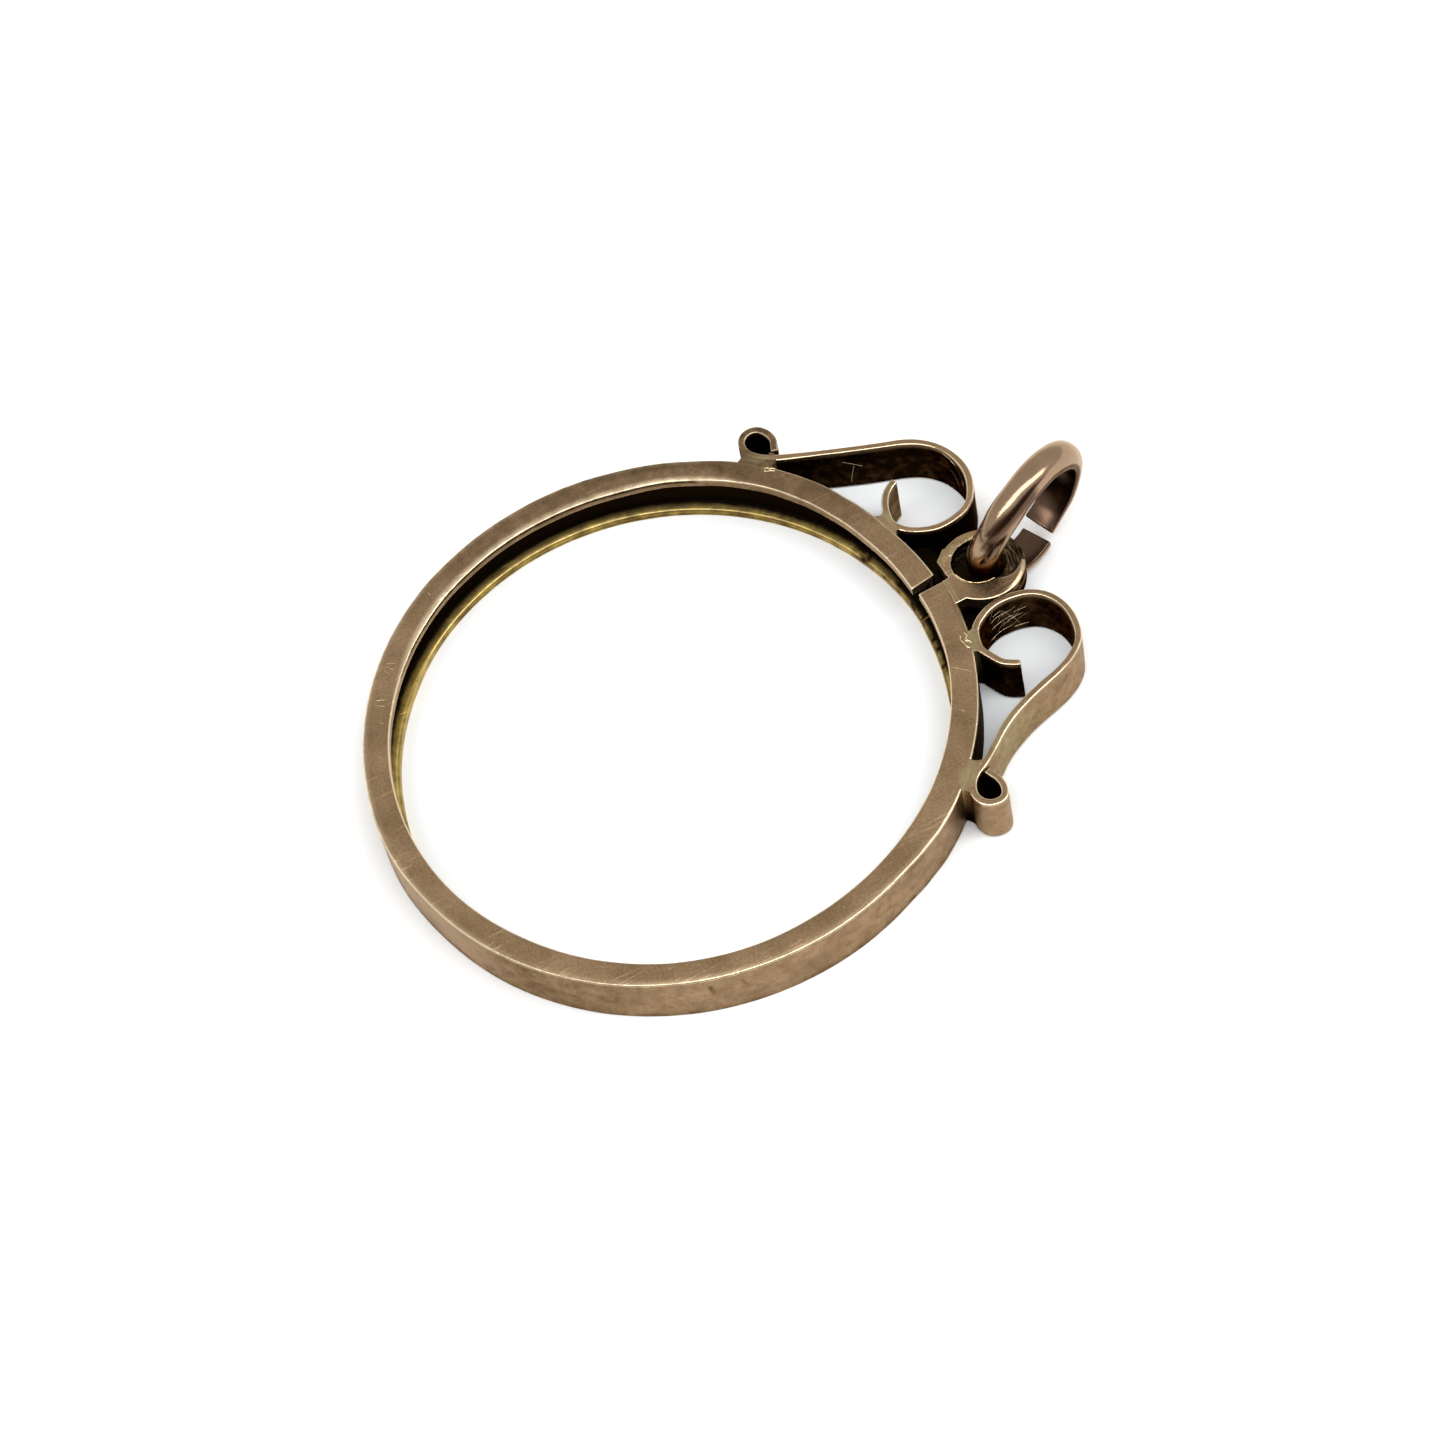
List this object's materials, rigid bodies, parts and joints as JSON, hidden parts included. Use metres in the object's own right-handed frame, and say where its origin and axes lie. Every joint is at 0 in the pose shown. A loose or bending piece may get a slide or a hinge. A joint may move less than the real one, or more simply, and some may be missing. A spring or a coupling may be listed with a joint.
{
  "type": "coin mount pendant",
  "caption": "Split round coin mount with a grooved band, scrolled strip shoulders, a soldered carrying ear and a cut jump ring for a chain.",
  "frame": {"origin": "centre of the round band, on the level of its lower face", "axes": "+Z along the band's axis towards its upper face, +Y towards the split, the ear and the jump ring"},
  "size_m": [0.0234, 0.0306, 0.0064],
  "materials": {
    "frame_gold": "satin worn rose gold with dark tarnish",
    "ring_gold": "polished worn rose gold"
  },
  "bodies": {
    "root": {"coin_frame": "frame_gold", "jump_ring": "ring_gold"}
  },
  "joints": []
}
